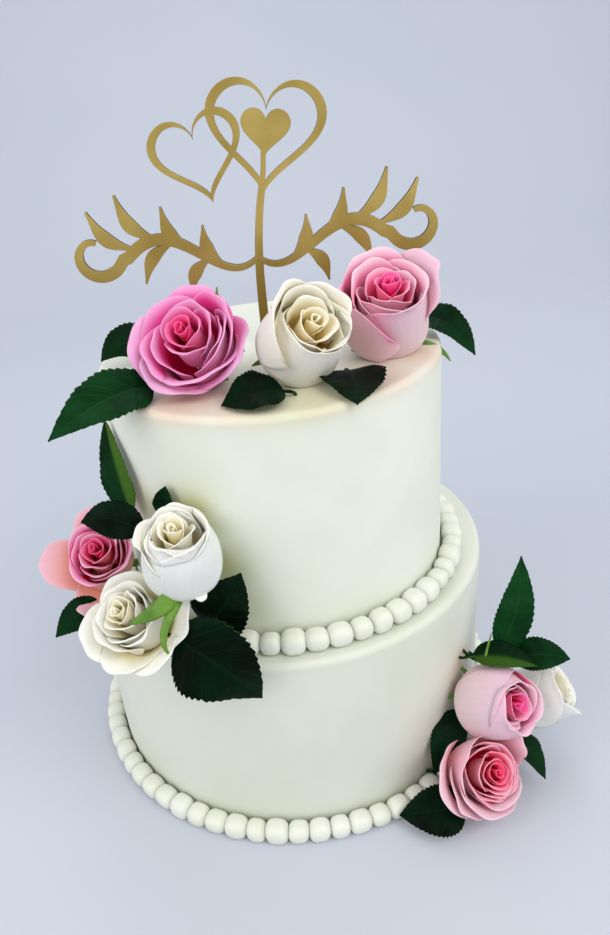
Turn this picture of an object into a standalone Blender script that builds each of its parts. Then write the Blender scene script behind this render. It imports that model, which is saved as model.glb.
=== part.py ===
"""Two-tier buttercream wedding cake with piped pearl borders, nine fresh roses in three sprays,
their leaves, and a gold laser-cut topper of hearts and scrolls. Metres, +Z up, front towards -Y."""

import math
import random

import bmesh
import bpy
import numpy as np
from mathutils import Matrix, Vector

MM = 0.001
GAP = 0.3 * MM

# Tiers: an 8 inch and a 6 inch cake, each with 7 mm of buttercream
LOWER_RADIUS = 108 * MM
LOWER_HEIGHT = 108 * MM
UPPER_RADIUS = 83.5 * MM
UPPER_HEIGHT = 114 * MM
UPPER_SHIFT = Vector((2 * MM, -8 * MM, 0))
RIM_ROUND = 3 * MM
TIER_STEPS = 48
TOP = LOWER_HEIGHT + UPPER_HEIGHT

# Piped pearls
PEARL_PITCH = 10.6 * MM
PEARL_RADIUS = 5.5 * MM
PEARL_UNEVEN = 0.09
NECK_SHARE = 0.5

# Flowers and foliage
PETAL_THICKNESS = 1.4 * MM
LEAF_THICKNESS = 0.8 * MM
STEM_RADIUS = 2.2 * MM

# Topper
TOPPER_THICKNESS = 3 * MM
TOPPER_Y = 0.0
TOPPER_FOOT = TOP - 16 * MM

COLOURS = {
    "buttercream": ((0.86, 0.85, 0.72), 0.5, 0.0),
    "hot_pink_petal": ((0.85, 0.20, 0.45), 0.6, 0.0),
    "pale_pink_petal": ((0.88, 0.55, 0.62), 0.6, 0.0),
    "coral_petal": ((0.86, 0.30, 0.36), 0.6, 0.0),
    "white_petal": ((0.88, 0.85, 0.76), 0.6, 0.0),
    "leaf": ((0.03, 0.09, 0.04), 0.35, 0.0),
    "gold": ((0.50, 0.38, 0.12), 0.35, 0.6),
}


def clear_scene():
    for obj in list(bpy.data.objects):
        bpy.data.objects.remove(obj, do_unlink=True)


def new_collection(name):
    made = bpy.data.collections.new(name)
    bpy.context.scene.collection.children.link(made)
    return made


def material(name):
    made = bpy.data.materials.get(name)
    if made is None:
        colour, roughness, metallic = COLOURS[name]
        made = bpy.data.materials.new(name)
        made.use_nodes = True
        shader = made.node_tree.nodes["Principled BSDF"]
        shader.inputs["Base Color"].default_value = (*colour, 1)
        shader.inputs["Roughness"].default_value = roughness
        shader.inputs["Metallic"].default_value = metallic
    return made


def add_object(name, data, collection, finish=None):
    obj = bpy.data.objects.new(name, data)
    collection.objects.link(obj)
    if finish:
        data.materials.append(material(finish))
    return obj


def mesh_from(bm, name):
    mesh = bpy.data.meshes.new(name)
    bm.to_mesh(mesh)
    bm.free()
    return mesh


def applied(obj):
    """The object's mesh with its modifiers and its placing applied."""
    bpy.context.view_layer.update()
    graph = bpy.context.evaluated_depsgraph_get()
    mesh = bpy.data.meshes.new_from_object(obj.evaluated_get(graph))
    mesh.transform(obj.matrix_world)
    return mesh


def largest_body(mesh):
    """Keeps the one outer surface: sealed hollows are filled and loose scraps dropped."""
    bm = bmesh.new()
    bm.from_mesh(mesh)
    bmesh.ops.remove_doubles(bm, verts=bm.verts, dist=0.02 * MM)
    left = set(bm.faces)
    bodies = []
    while left:
        stack = [left.pop()]
        body = list(stack)
        while stack:
            for edge in stack.pop().edges:
                for face in edge.link_faces:
                    if face in left:
                        left.remove(face)
                        stack.append(face)
                        body.append(face)
        bodies.append(body)
    bodies.sort(key=lambda faces: sum(face.calc_area() for face in faces))
    spare = [face for body in bodies[:-1] for face in body]
    bmesh.ops.delete(bm, geom=spare, context="FACES")
    bmesh.ops.triangulate(bm, faces=bm.faces)
    bm.to_mesh(mesh)
    bm.free()
    return mesh


def union(name, pieces, finish, collection):
    """Joins closed pieces into one solid, and removes them."""
    group = bpy.data.collections.new(name + "_pieces")
    bpy.context.scene.collection.children.link(group)
    first, rest = pieces[0], pieces[1:]
    for piece in rest:
        for home in list(piece.users_collection):
            home.objects.unlink(piece)
        group.objects.link(piece)
    join = first.modifiers.new("Join", "BOOLEAN")
    join.operation = "UNION"
    join.operand_type = "COLLECTION"
    join.collection = group
    join.solver = "EXACT"
    mesh = largest_body(applied(first))
    for piece in pieces:
        bpy.data.objects.remove(piece, do_unlink=True)
    bpy.data.collections.remove(group)
    mesh.materials.clear()
    return add_object(name, mesh, collection, finish)


def turned(name, profile, steps, finish, collection):
    """A profile from the top of the axis, down the outside, to the bottom of the axis, turned round Z."""
    bm = bmesh.new()
    points = [bm.verts.new((r, 0, z)) for r, z in profile]
    for a, b in zip(points, points[1:]):
        bm.edges.new((a, b))
    obj = add_object(name, mesh_from(bm, name), collection, finish)
    screw = obj.modifiers.new("Turn", "SCREW")
    screw.steps = steps
    screw.render_steps = steps
    screw.use_merge_vertices = True
    screw.merge_threshold = 0.01 * MM
    screw.use_smooth_shade = True
    return obj


def tier(name, radius, low, high, place, collection):
    corner = [
        (radius - RIM_ROUND + RIM_ROUND * math.sin(a), high - RIM_ROUND + RIM_ROUND * math.cos(a))
        for a in np.linspace(0, math.pi / 2, 4)
    ]
    profile = [(0, high), *corner, (radius, low), (0, low)]
    obj = turned(name, profile, TIER_STEPS, "buttercream", collection)
    obj.location = place
    return obj


def pearl_border(name, ring_radius, floor, place, seed, collection):
    """A ring of touching piped pearls: one closed tube whose radius swells at each pearl."""
    rng = random.Random(seed)
    count = round(2 * math.pi * ring_radius / PEARL_PITCH)
    widths = [1 + rng.uniform(-PEARL_UNEVEN, PEARL_UNEVEN) for _ in range(count)]
    total = sum(widths)
    curve = bpy.data.curves.new(name, "CURVE")
    curve.dimensions = "3D"
    curve.bevel_depth = PEARL_RADIUS
    curve.bevel_resolution = 1
    spline = curve.splines.new("POLY")
    spline.points.add(2 * count - 1)
    spline.use_cyclic_u = True
    turned_to = 0.0
    for k, width in enumerate(widths):
        step = 2 * math.pi * width / total
        for j, (share, swell) in enumerate(((0.0, NECK_SHARE), (0.5, 1.0))):
            angle = turned_to + step * share
            point = spline.points[2 * k + j]
            size = swell * min(1.0, width)
            height = floor + PEARL_RADIUS + GAP
            point.co = (ring_radius * math.cos(angle), ring_radius * math.sin(angle), height, 1)
            point.radius = size
        turned_to += step
    obj = add_object(name, curve, collection, "buttercream")
    obj.location = place
    return obj


def smooth(x):
    x = np.clip(x, 0, 1)
    return x * x * (3 - 2 * x)


class Petal:
    """One petal about the flower's axis, +Z.

    Its middle line starts at `root`, (distance from the axis, height), leaning `low` degrees from
    the axis, stands at `mid` through the cup and ends at `tip`. One side edge lies `lap` further
    out and the other as much further in, so that neighbours overlap without touching."""

    def __init__(self, turn, root, length, width, low, mid, tip, foot=0.5, lap=1.7, droop=0.3):
        self.turn = math.radians(turn)
        self.root = root
        self.length = length
        self.width = width
        self.angles = [math.radians(a) for a in (low, mid, tip)]
        self.foot = foot
        self.lap = lap
        self.droop = droop

    def line(self, t):
        """(distance from the axis, height) at arc length share t of the middle line."""
        low, mid, tip = self.angles
        fine = np.linspace(0, 1, 61)
        lean = mid + (low - mid) * (1 - smooth(fine / 0.5)) + (tip - mid) * smooth((fine - 0.5) / 0.5)
        step = self.length / 60
        out = self.root[0] + np.concatenate([[0], np.cumsum(np.sin(lean[:-1]) * step)])
        up = self.root[1] + np.concatenate([[0], np.cumsum(np.cos(lean[:-1]) * step)])
        return np.interp(t, fine, out), np.interp(t, fine, up)

    def surface(self, u, v):
        """Points for u from -1 to 1 across and v from 0 to 1 root to tip."""
        t = v * (1 - self.droop * np.abs(u) ** 2.4 * v)
        out, up = self.line(t)
        half = self.width * (self.foot + (1 - self.foot) * smooth(t / 0.6))
        angle = u * half / out
        out = out + self.lap * u * smooth(v / 0.4)
        angle = angle + self.turn
        return np.stack([out * np.cos(angle), out * np.sin(angle), up], -1)


def petal_piece(name, petal, scale, collection):
    """A petal as a shell: a grid shaped by the petal's formula, then given its thickness."""
    bm = bmesh.new()
    bmesh.ops.create_grid(bm, x_segments=3, y_segments=3, size=1)
    places = np.array([vert.co for vert in bm.verts])
    shaped = petal.surface(places[:, 0], (places[:, 1] + 1) / 2) * scale * MM
    for vert, place in zip(bm.verts, shaped):
        vert.co = place
    bmesh.ops.triangulate(bm, faces=bm.faces)
    obj = add_object(name, mesh_from(bm, name), collection)
    wall = obj.modifiers.new("Thickness", "SOLIDIFY")
    wall.thickness = PETAL_THICKNESS
    wall.offset = 0
    return obj


def heart_piece(name, radius, height, scale, collection):
    """The tightly rolled heart and the foot of the bloom: an egg with a dished top."""
    bm = bmesh.new()
    bmesh.ops.create_uvsphere(bm, u_segments=10, v_segments=5, radius=1)
    for vert in bm.verts:
        x, y, z = vert.co
        reach = math.hypot(x, y)
        up = 0.5 * (z + 1) - 0.16 * max(z, 0) * (1 - reach)
        swell = radius * (1 - 0.12 * z)
        vert.co = (x * swell, y * swell, up * height)
    bmesh.ops.scale(bm, vec=(scale * MM,) * 3, verts=bm.verts)
    return add_object(name, mesh_from(bm, name), collection)


def rod_piece(name, start, end, radius, sides, collection):
    """A straight round rod between two points."""
    start, end = Vector(start), Vector(end)
    bm = bmesh.new()
    bmesh.ops.create_cone(
        bm, cap_ends=True, segments=sides, radius1=radius, radius2=radius, depth=(end - start).length
    )
    turn = (end - start).to_track_quat("Z", "Y").to_matrix().to_4x4()
    bm.transform(Matrix.Translation((start + end) / 2) @ turn)
    return add_object(name, mesh_from(bm, name), collection)


def ring(count, start, **shape):
    return [Petal(start + 360 * k / count, **shape) for k in range(count)]


def open_bloom():
    """A rose that has opened: five outer petals rolled out at the rim, round a large heart."""
    outer = ring(5, 0, root=(9, 5), length=37, width=19, low=60, mid=12, tip=72)
    return (15.5, 34), outer


def full_bloom():
    """An open rose with a cup of three petals between its heart and its outer petals."""
    heart, outer = open_bloom()
    cup = ring(3, 30, root=(9, 10), length=27, width=19, low=48, mid=4, tip=36, foot=0.45, lap=1.2)
    return (12.5, 34), cup + outer


def half_bloom():
    """A rose that is half open: the cup stands up and only its rim turns out."""
    cup = ring(3, 20, root=(9, 12), length=25, width=18, low=44, mid=4, tip=24, foot=0.45, lap=1.2)
    outer = ring(4, 0, root=(10, 5), length=37, width=22, low=56, mid=8, tip=46)
    return (12.5, 35), cup + outer


def closed_bloom():
    """A plump bud: three wide petals wrap it, turned out at the lip only."""
    outer = ring(3, 0, root=(10, 5), length=37, width=23, low=50, mid=2, tip=18, foot=0.45)
    return (16, 35), outer


# Each rose: mouth of the bloom and the way it faces, turn about that axis, bloom size against
# a 54 mm one, petals, finish, and the end of its stem in the cake
ROSES = {
    "rose_top_hot_pink": dict(
        mouth=(-32.2, -60, 250.6), faces=(-0.20, -0.66, 0.72), turn=48, scale=0.93,
        bloom=full_bloom, finish="hot_pink_petal", anchor=(-22, -6, 209),
    ),
    "rose_top_white": dict(
        mouth=(21.3, -67, 250.6), faces=(0.36, -0.66, 0.66), turn=70, scale=0.86,
        bloom=half_bloom, finish="white_petal", anchor=(7, -8, 210),
    ),
    "rose_top_pale_pink": dict(
        mouth=(56.8, -40, 254.2), faces=(0.02, -0.50, 0.87), turn=10, scale=0.92,
        bloom=half_bloom, finish="pale_pink_petal", anchor=(58, 0, 208),
    ),
    "rose_left_pink": dict(
        mouth=(-87.5, -65, 152.4), faces=(-0.02, -0.60, 0.80), turn=36, scale=0.76,
        bloom=open_bloom, finish="coral_petal", anchor=(-66, -26, 118),
    ),
    "rose_left_white_bud": dict(
        mouth=(-44.4, -101, 180), faces=(0.02, -0.32, 0.95), turn=200, scale=0.82,
        bloom=closed_bloom, finish="white_petal", anchor=(-38, -66, 130),
    ),
    "rose_left_white_open": dict(
        mouth=(-72.3, -106, 146), faces=(-0.34, -0.50, 0.79), turn=0, scale=0.75,
        bloom=open_bloom, finish="white_petal", anchor=(-58, -76, 88),
    ),
    "rose_right_pale_pink": dict(
        mouth=(105.5, -95, 57.3), faces=(0.50, -0.74, 0.42), turn=60, scale=0.85,
        bloom=closed_bloom, finish="pale_pink_petal", anchor=(66, -46, 36),
    ),
    "rose_right_coral": dict(
        mouth=(91.5, -112.5, 28), faces=(0.28, -0.66, 0.69), turn=18, scale=0.79,
        bloom=open_bloom, finish="coral_petal", anchor=(66, -52, 24),
    ),
    "rose_right_white": dict(
        mouth=(137, -74, 44), faces=(0.84, -0.16, 0.52), turn=0, scale=0.80,
        bloom=closed_bloom, finish="white_petal", anchor=(84, -44, 20),
    ),
}


def rose(name, mouth, faces, turn, scale, bloom, finish, anchor, collection):
    """One rose: heart, petals, hip and stem joined, standing on its hip and turned to face out."""
    (heart_radius, heart_height), petals = bloom()
    upright = Vector(faces).normalized()
    base = (Vector(mouth) - upright * heart_height * scale) * MM
    place = Matrix.Translation(base) @ upright.to_track_quat("Z", "Y").to_matrix().to_4x4()
    place = place @ Matrix.Rotation(math.radians(turn), 4, "Z")
    stem_end = place.inverted() @ (Vector(anchor) * MM)
    pieces = [
        heart_piece(name + "_heart", heart_radius, heart_height, scale, collection),
        rod_piece(name + "_stem", (0, 0, 3 * MM), stem_end, STEM_RADIUS, 5, collection),
    ]
    for k, petal in enumerate(petals):
        pieces.append(petal_piece(f"{name}_petal_{k}", petal, scale, collection))
    obj = union(name, pieces, finish, collection)
    obj.matrix_world = place
    return obj


def stem_hole(name, data, collection):
    """A blind hole for a rose's stem, a gap wider all round and at its end."""
    upright = Vector(data["faces"]).normalized()
    height = data["bloom"]()[0][1] * data["scale"]
    base = (Vector(data["mouth"]) - upright * height) * MM + upright * 3 * MM
    end = Vector(data["anchor"]) * MM
    beyond = end + (end - base).normalized() * GAP
    hole = rod_piece("hole_" + name, base, beyond, STEM_RADIUS + 2.2 * GAP, 5, collection)
    hole.hide_render = True
    hole.display_type = "WIRE"
    return hole


# Each leaf: root, a point that the middle rib bends towards, tip, way its face looks, width
LEAVES = {
    "leaf_top_long": ((-45, -54, 223.5), (-62, -60, 233), (-88, -91, 221.5), (0.0, -0.6, 0.8), 30),
    "leaf_top_back": ((-48, -8, 225), (-64, -10, 240), (-77, -18, 227), (-0.1, -0.7, 0.7), 22),
    "leaf_top_front": ((-7, -44, 223.5), (-6, -64, 229), (-5, -87, 223.3), (0, -0.1, 1), 34),
    "leaf_top_middle": ((35, -52, 223.2), (37, -68, 226.5), (34.5, -90, 222.8), (0, -0.1, 1), 32),
    "leaf_top_right": ((72, -4, 226), (88, -14, 236), (98, -30, 215), (0.1, -0.5, 0.85), 22),
    "leaf_left_tall": ((-67, -63, 162), (-76, -58, 186), (-75, -45, 209), (-0.55, -0.8, 0.2), 24),
    "leaf_left_small": ((-50, -76, 170), (-50, -77, 180), (-48, -78, 189), (-0.5, -0.85, 0.1), 14),
    "leaf_left_over": ((-58, -80, 165), (-72, -80, 182), (-89, -72, 172), (0, -0.7, 0.7), 20),
    "leaf_left_low": ((-88, -68, 124), (-98, -77, 129), (-110, -84, 119), (-0.1, -0.7, 0.7), 18),
    "leaf_left_upper": ((-41, -98, 127), (-30, -106, 138), (-20, -95, 152), (-0.1, -0.9, 0.4), 31),
    "leaf_left_big": ((-54, -107, 133), (-36, -127, 137), (-17, -114, 97.5), (-0.1, -0.9, 0.45), 42),
    "leaf_right_tall": ((99, -72, 68), (114, -72, 86), (119, -50, 112), (-0.2, -0.8, 0.55), 21),
    "leaf_right_side": ((108, -66, 59), (122, -76, 73), (138, -76, 64), (0, -0.6, 0.8), 20),
    "leaf_right_flat": ((86, -70, 67), (101, -78, 78), (119, -82, 67.5), (-0.3, -0.3, 0.9), 17),
    "leaf_right_inner": ((83.5, -74, 40), (73, -91.5, 36), (64, -97.5, 16), (-0.4, -0.8, 0.4), 20),
    "leaf_right_floor": ((79, -114, 9), (63, -119, 17), (43, -113, 8), (-0.1, -0.6, 0.8), 28),
    "leaf_right_edge": ((106, -85, 25), (114, -94, 27), (119, -104, 12), (0.5, -0.5, 0.7), 18),
}
LEAF_FOLD = math.radians(14)
PETIOLE_SHARE = 0.14
PETIOLE_HALF_WIDTH = 1.3 * MM


def leaf(name, root, bend, tip, faces, width, collection):
    """A thin leaf: its middle rib is a quadratic curve, and its halves fold up from the rib and wave."""
    root, bend, tip, faces = (np.array(p, float) for p in (root, bend, tip, faces))
    bm = bmesh.new()
    bmesh.ops.create_grid(bm, x_segments=2, y_segments=6, size=1)
    for vert in bm.verts:
        q, t = vert.co.x, (vert.co.y + 1) / 2
        rib = (1 - t) ** 2 * root + 2 * t * (1 - t) * bend + t * t * tip
        along = 2 * (1 - t) * (bend - root) + 2 * t * (tip - bend)
        along /= np.linalg.norm(along)
        side = np.cross(along, faces)
        side /= np.linalg.norm(side)
        out = np.cross(side, along)
        blade = max(t - PETIOLE_SHARE, 0) / (1 - PETIOLE_SHARE)
        half = width * 0.5 * 1.72 * blade**0.75 * (1 - blade) ** 0.62
        half = max(half, PETIOLE_HALF_WIDTH / MM * (1 - 0.6 * t))
        wave = 0.05 * half * math.sin(9 * t + 2 * q)
        rise = abs(q) * half * math.sin(LEAF_FOLD) + wave * abs(q)
        vert.co = Vector(rib + side * q * half * math.cos(LEAF_FOLD) + out * rise) * MM
    bmesh.ops.triangulate(bm, faces=bm.faces)
    obj = add_object(name, mesh_from(bm, name), collection, "leaf")
    wall = obj.modifiers.new("Thickness", "SOLIDIFY")
    wall.thickness = LEAF_THICKNESS
    wall.offset = 0
    return obj


def flat_outline(name, loops, collection):
    """A flat piece of the topper, standing in the XZ plane: closed outlines, filled between."""
    curve = bpy.data.curves.new(name, "CURVE")
    curve.dimensions = "2D"
    curve.fill_mode = "BOTH"
    curve.extrude = TOPPER_THICKNESS / 2
    for loop in loops:
        spline = curve.splines.new("POLY")
        spline.points.add(len(loop) - 1)
        spline.use_cyclic_u = True
        for point, (x, z) in zip(spline.points, loop):
            point.co = (x, z, 0, 1)
    shape = add_object(name, curve, collection)
    mesh = applied(shape)
    bpy.data.objects.remove(shape, do_unlink=True)
    mesh.transform(Matrix.Rotation(math.radians(90), 4, "X"))
    bm = bmesh.new()
    bm.from_mesh(mesh)
    bmesh.ops.remove_doubles(bm, verts=bm.verts, dist=0.01 * MM)
    bmesh.ops.recalc_face_normals(bm, faces=bm.faces)
    bm.to_mesh(mesh)
    bm.free()
    return add_object(name, mesh, collection)


def stroke_loop(points, widths):
    """The outline of a pen stroke: offset to both sides of its line by half its width."""
    points = np.asarray(points, float)
    along = np.gradient(points, axis=0)
    along /= np.linalg.norm(along, axis=1)[:, None]
    side = np.stack([-along[:, 1], along[:, 0]], -1)
    half = (np.asarray(widths) / 2)[:, None]
    return np.concatenate([points + side * half, (points - side * half)[::-1]])


def heart_line(count):
    """A heart about the origin, one unit wide: the usual sine and cosine sum."""
    t = np.linspace(0, 2 * np.pi, count, endpoint=False)
    x = 16 * np.sin(t) ** 3
    z = 13 * np.cos(t) - 5 * np.cos(2 * t) - 2 * np.cos(3 * t) - np.cos(4 * t)
    return np.stack([x, z], -1) / 32


def heart_loops(centre, size, tilt, line_width):
    """Outlines of a heart tilted in its plane: outer and inner, or only outer with no line width."""
    c, s = math.cos(tilt), math.sin(tilt)
    line = heart_line(18 if line_width else 12) @ np.array([[c, s], [-s, c]])
    outer = line * size + centre
    if not line_width:
        return [outer]
    inner = line * (size - 2.3 * line_width) + centre
    return [outer, inner[::-1]]


def bezier(a, b, c, d, count):
    t = np.linspace(0, 1, count)[:, None]
    a, b, c, d = (np.array(p, float) for p in (a, b, c, d))
    return (1 - t) ** 3 * a + 3 * t * (1 - t) ** 2 * b + 3 * t * t * (1 - t) * c + t**3 * d


def curl(centre, start_radius, end_radius, start_angle, sweep, count):
    """An arc that winds in: its radius falls evenly while it turns."""
    share = np.linspace(0, 1, count)
    angle = np.radians(start_angle + sweep * share)
    radius = start_radius + (end_radius - start_radius) * share
    return np.stack([centre[0] + radius * np.cos(angle), centre[1] + radius * np.sin(angle)], -1)


def swell(count, thin, thick):
    """Pen widths that swell from thin to thick and back."""
    return thin + (thick - thin) * np.sin(np.linspace(0, np.pi, count)) ** 1.3


FRONDS = (((16, 262), (24, 281)), ((30, 270), (42, 291)), ((45, 276), (62, 298)), ((56, 273), (76, 292)),
          ((22, 266), (33, 250)), ((38, 275), (54, 257)))


def topper_strokes():
    """The topper's drawing in millimetres, x across and z up: each side has a long wave that ends
    in a curl, with pointed fronds above and below it. The two sides mirror each other."""
    strokes = []
    for side in (1, -1):
        mirror = np.array([side, 1])
        wave = bezier((0, 264), (20, 246), (36, 296), (62, 268), 8)
        end = curl((75, 273), 12.5, 5, 200, 260, 8)
        strokes.append((np.concatenate([wave[:-1], end]) * mirror, swell(15, 2.4, 5.6)))
        for start, tip in FRONDS:
            start, tip = np.array(start, float), np.array(tip, float)
            reach = tip - start
            bend = start + 0.5 * reach + 0.22 * np.array([reach[1], -reach[0]]) * np.sign(reach[1])
            line = bezier(start, bend, bend, tip, 4)
            strokes.append((line * mirror, swell(4, 1.0, 7.2)))
    return strokes


def topper(collection):
    """Gold topper: two open hearts over scrollwork, on one pointed stick, all one piece."""
    pieces = []
    for k, (points, widths) in enumerate(topper_strokes()):
        pieces.append(flat_outline(f"topper_stroke_{k}", [stroke_loop(points, widths) * MM], collection))
    hearts = (((9, 319), 53, -0.14, 3.4), ((-22, 312), 42, 0.20, 3.0), ((9, 319), 22, -0.14, 0))
    for k, (centre, size, tilt, line_width) in enumerate(hearts):
        loops = heart_loops(np.array(centre, float), size, tilt, line_width)
        pieces.append(flat_outline(f"topper_heart_{k}", [loop * MM for loop in loops], collection))
    bridge = stroke_loop([(5.2, 290), (6.2, 300), (7.2, 310)], (3.6, 2.2, 2.2))
    pieces.append(flat_outline("topper_bridge", [bridge * MM], collection))
    foot = TOPPER_FOOT / MM
    stick = [(3.0, 295), (-2.2, 284), (-2.2, foot + 6), (0, foot), (2.2, foot + 6), (2.2, 283), (6.6, 292)]
    pieces.append(flat_outline("topper_stick", [np.array(stick) * MM], collection))
    obj = union("topper", pieces, "gold", collection)
    obj.location = (2 * MM, TOPPER_Y, 0)
    return obj


def topper_slot(collection):
    """The slit that the topper's stick makes in the top of the cake."""
    bm = bmesh.new()
    bmesh.ops.create_cube(bm, size=1)
    depth = TOP - TOPPER_FOOT + 2 * MM
    bmesh.ops.scale(bm, vec=(5.2 * MM, TOPPER_THICKNESS + 2 * GAP, depth), verts=bm.verts)
    slot = add_object("topper_slot", mesh_from(bm, "topper_slot"), collection)
    slot.location = (2 * MM, TOPPER_Y, TOPPER_FOOT - GAP + depth / 2)
    slot.hide_render = True
    slot.display_type = "WIRE"
    return slot


def cut(obj, cutters):
    for cutter in cutters:
        hole = obj.modifiers.new(cutter.name, "BOOLEAN")
        hole.operation = "DIFFERENCE"
        hole.object = cutter
        hole.solver = "EXACT"


def main():
    clear_scene()
    cake = new_collection("wedding_cake")
    cutters = new_collection("cutters")

    lower = tier("tier_lower", LOWER_RADIUS, 0, LOWER_HEIGHT, Vector(), cake)
    upper = tier("tier_upper", UPPER_RADIUS, LOWER_HEIGHT + GAP, TOP, UPPER_SHIFT, cake)
    lower_ring = LOWER_RADIUS + PEARL_RADIUS + GAP
    upper_ring = UPPER_RADIUS + PEARL_RADIUS + GAP
    pearl_border("border_lower", lower_ring, -GAP, Vector(), 3, cake)
    pearl_border("border_upper", upper_ring, LOWER_HEIGHT, UPPER_SHIFT, 5, cake)

    for name, data in ROSES.items():
        rose(name, collection=cake, **data)
    for name, data in LEAVES.items():
        leaf(name, *data, collection=cake)
    topper(cake)

    lower_holes = []
    upper_holes = [topper_slot(cutters)]
    for name, data in ROSES.items():
        low_stem = data["anchor"][2] * MM < LOWER_HEIGHT
        (lower_holes if low_stem else upper_holes).append(stem_hole(name, data, cutters))
    cut(lower, lower_holes)
    cut(upper, upper_holes)


main()
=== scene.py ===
"""Looks of the two-tier buttercream wedding cake with fresh roses and a gold topper.

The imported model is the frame. Every piece here is a surface worked out with numpy on a grid of two
parameters, in metres, +Z up, with the front towards -Y."""

import math
from typing import NamedTuple

import bpy
import numpy as np
from mathutils import Matrix, Vector


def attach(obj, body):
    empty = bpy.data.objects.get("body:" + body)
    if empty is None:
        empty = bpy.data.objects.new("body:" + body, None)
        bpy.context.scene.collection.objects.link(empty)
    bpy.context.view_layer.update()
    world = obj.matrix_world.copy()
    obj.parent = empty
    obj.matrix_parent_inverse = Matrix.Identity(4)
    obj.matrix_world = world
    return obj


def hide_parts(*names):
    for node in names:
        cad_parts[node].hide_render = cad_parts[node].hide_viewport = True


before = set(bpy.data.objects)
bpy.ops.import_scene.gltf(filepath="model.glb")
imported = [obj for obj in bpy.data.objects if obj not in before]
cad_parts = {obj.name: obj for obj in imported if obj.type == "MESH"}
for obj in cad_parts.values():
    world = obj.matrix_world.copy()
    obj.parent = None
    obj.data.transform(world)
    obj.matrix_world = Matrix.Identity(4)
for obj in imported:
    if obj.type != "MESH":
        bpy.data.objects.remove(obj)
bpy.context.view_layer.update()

MM = 0.001

# Cake, as the frame's solids have it
LOWER_RADIUS = 108 * MM
LOWER_HEIGHT = 108 * MM
UPPER_RADIUS = 83.5 * MM
UPPER_FLOOR = 108.3 * MM
TOP = 222 * MM
UPPER_SHIFT = (2 * MM, -8 * MM)
PEARL_RADIUS = 5.5 * MM
PEARL_PITCH = 10.6 * MM

# Photograph's camera
IMAGE_WIDTH, IMAGE_HEIGHT = 610, 935
CAMERA_TARGET = Vector((0, 0, 149 * MM))
CAMERA_DISTANCE = 415.8 * MM
CAMERA_ELEVATION = math.radians(28.17)
CAMERA_ROLL = math.radians(-6.08)
FOCAL_PIXELS = 766.1
IMAGE_CENTRE = (276.5, 470.9)


def smooth(x):
    """Smoothstep: 0 below 0, 1 above 1, with flat ends."""
    x = np.clip(x, 0, 1)
    return x * x * (3 - 2 * x)


def colour(red, green, blue):
    """A screen colour from 0 to 255 as the linear colour that shaders take."""
    share = np.array([red, green, blue]) / 255
    linear = np.where(share <= 0.04045, share / 12.92, ((share + 0.055) / 1.055) ** 2.4)
    return (*[float(c) for c in linear], 1.0)


def unit(vectors):
    """Vectors of length one."""
    return vectors / np.linalg.norm(vectors, axis=-1, keepdims=True)


def bezier(a, b, c, d, count):
    """Points of a cubic curve from a to d, pulled towards b and c."""
    t = np.linspace(0, 1, count)[:, None]
    a, b, c, d = (np.array(p, float) for p in (a, b, c, d))
    return (1 - t) ** 3 * a + 3 * t * (1 - t) ** 2 * b + 3 * t * t * (1 - t) * c + t**3 * d


def circle(steps):
    """Angles once round, evenly."""
    return np.linspace(0, 2 * np.pi, steps, endpoint=False)


def shares(rows, cols):
    """Shares of a sheet: along it from 0 to 1 in rows, and across it from -1 to 1 in columns."""
    return np.linspace(0, 1, rows)[:, None], np.linspace(-1, 1, cols)[None, :]


def turned(radial, sideways, height, angle):
    """Points at a distance and a sideways shift from the axis, turned round it by an angle."""
    c, s = math.cos(angle), math.sin(angle)
    return np.stack([radial * c - sideways * s, radial * s + sideways * c, height], -1)


def in_scene(name, data):
    """A new object at the origin that shows the data."""
    obj = bpy.data.objects.new(name, data)
    bpy.context.scene.collection.objects.link(obj)
    return obj


def smooth_mesh(name, points, faces, material):
    """A smooth mesh with one material."""
    mesh = bpy.data.meshes.new(name)
    mesh.from_pydata(points.tolist(), [], faces)
    mesh.shade_smooth()
    mesh.materials.append(material)
    return mesh


# Meshes


def quads(rows, cols, wrap=False):
    """Faces between the vertices of a grid, row after row; wrap joins the last column to the first."""
    row = np.arange(rows - 1)[:, None] * cols
    col = np.arange(cols if wrap else cols - 1)[None, :]
    following = (col + 1) % cols
    return np.stack([row + col, row + following, row + cols + following, row + cols + col], -1).reshape(-1, 4)


class Build:
    """Vertices, faces and attributes of one piece, gathered part by part."""

    def __init__(self):
        self.points = []
        self.faces = []
        self.values = {}
        self.count = 0

    def add(self, points, faces, **values):
        points = np.asarray(points, float).reshape(-1, 3)
        for chunk in faces:
            self.faces.extend((np.asarray(chunk) + self.count).tolist())
        for name, value in values.items():
            full = np.broadcast_to(np.asarray(value, float).reshape(-1), (len(points),))
            self.values.setdefault(name, []).append(full)
        self.points.append(points)
        self.count += len(points)

    def piece(self, name, material, nodes):
        """The finished object: it rides on the cake and stands for its CAD nodes."""
        mesh = smooth_mesh(name, np.concatenate(self.points), self.faces, material)
        for key, chunks in self.values.items():
            mesh.attributes.new(key, "FLOAT", "POINT").data.foreach_set("value", np.concatenate(chunks))
        obj = in_scene(name, mesh)
        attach(obj, "root")
        if nodes:
            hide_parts(*nodes)
        return obj


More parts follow.
